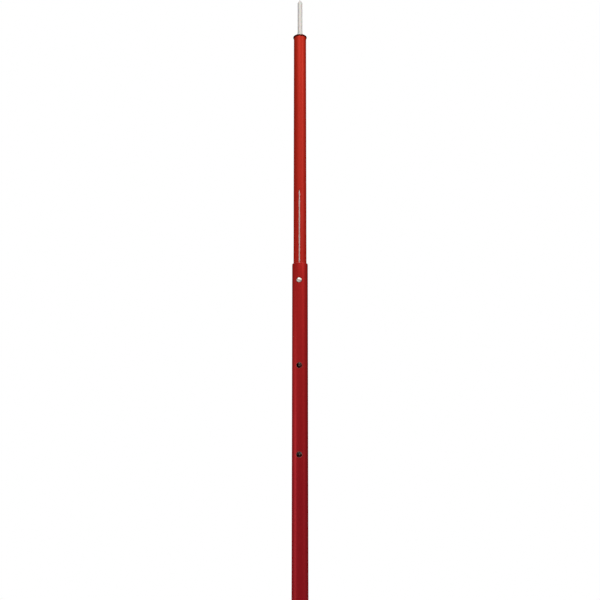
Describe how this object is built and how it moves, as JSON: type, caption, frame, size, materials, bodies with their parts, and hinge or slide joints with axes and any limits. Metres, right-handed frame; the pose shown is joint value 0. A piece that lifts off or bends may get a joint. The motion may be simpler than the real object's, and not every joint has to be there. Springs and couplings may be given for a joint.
{
  "type": "telescoping fence rod driver",
  "caption": "Slender telescoping driver for thin fence rods: a guide tube slides in a driver tube and a snap button locks it at set heights, with a white rod loaded through the nose.",
  "frame": {"origin": "centre of the strike cap's flat face, the closed end the driver stands on", "axes": "+Z along the axis from the strike face to the rod's tip; the setting holes, snap button and slot face -Y"},
  "size_m": [0.036, 0.036, 1.299],
  "materials": {
    "red_paint": "satin",
    "white_nylon": "satin",
    "rod_white": "satin",
    "bright_steel": "bright",
    "dark_steel": "oiled",
    "amber_urethane": "matt"
  },
  "bodies": {
    "driver": {"driver_tube": "red_paint", "strike_cap": "red_paint", "cap_weld": "red_paint", "striker_plug": "dark_steel", "buffer_disc": "amber_urethane", "rod_cup": "bright_steel", "cup_screw": "bright_steel", "plug_pin_lower": "bright_steel", "plug_pin_upper": "bright_steel"},
    "guide": {"guide_tube": "red_paint", "nose_ring": "red_paint", "nose_bush": "white_nylon", "nose_rivet": "bright_steel", "guide_liner": "white_nylon", "liner_clip": "bright_steel", "tail_bush": "white_nylon", "snap_spring": "bright_steel", "spring_rivet_lower": "bright_steel", "spring_rivet_upper": "bright_steel"},
    "button": {"snap_button": "bright_steel"},
    "rod": {"rod_post": "rod_white"}
  },
  "joints": [
    {"name": "guide_slide", "type": "slide", "parent": "driver", "child": "guide", "axis": [0, 0, 1], "range_m": [-0.33, 0], "deforming": ["snap_button"]},
    {"name": "button_press", "type": "slide", "parent": "guide", "child": "button", "axis": [0, 1, 0], "range_m": [0, 0.0037], "stiffness_N_per_m": 2500, "springref_m": -0.001, "deforming": ["snap_spring"]},
    {"name": "rod_lift", "type": "slide", "parent": "driver", "child": "rod", "axis": [0, 0, 1], "range_m": [0, 1.16]}
  ]
}
